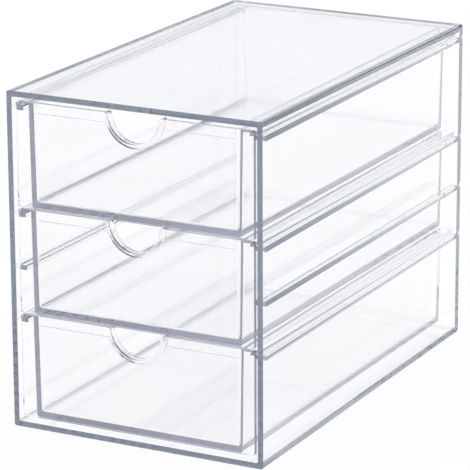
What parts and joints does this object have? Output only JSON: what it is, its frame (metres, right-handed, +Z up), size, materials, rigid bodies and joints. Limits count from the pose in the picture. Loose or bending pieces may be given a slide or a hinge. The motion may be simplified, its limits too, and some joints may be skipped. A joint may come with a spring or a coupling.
{
  "type": "drawer organizer",
  "caption": "Clear open-fronted vanity case with stacked drawers that hang on side runners and slide out, each with a half-round thumb notch, for make-up and jewellery.",
  "frame": {"origin": "middle of the base, which stands on the table", "axes": "+X to the right seen from the front, +Y from the open front to the back, +Z up; the drawers open towards -Y"},
  "size_m": [0.136, 0.23, 0.1682],
  "materials": {
    "clear_case": "clear polished moulding, faint grey-green along the cut rim",
    "clear_tray": "clear polished moulding, faint violet-grey where it is seen end on",
    "clear_front": "clear polished moulding"
  },
  "bodies": {
    "case": {"case_shell": "clear_case"},
    "drawer_top": {"drawer_tray_top": "clear_tray", "drawer_front_top": "clear_front"},
    "drawer_middle": {"drawer_tray_middle": "clear_tray", "drawer_front_middle": "clear_front"},
    "drawer_bottom": {"drawer_tray_bottom": "clear_tray", "drawer_front_bottom": "clear_front"}
  },
  "joints": [
    {"name": "drawer_top_slide", "type": "slide", "parent": "case", "child": "drawer_top", "axis": [0, -1, 0], "range_m": [0, 0.18]},
    {"name": "drawer_middle_slide", "type": "slide", "parent": "case", "child": "drawer_middle", "axis": [0, -1, 0], "range_m": [0, 0.18]},
    {"name": "drawer_bottom_slide", "type": "slide", "parent": "case", "child": "drawer_bottom", "axis": [0, -1, 0], "range_m": [0, 0.18]}
  ]
}
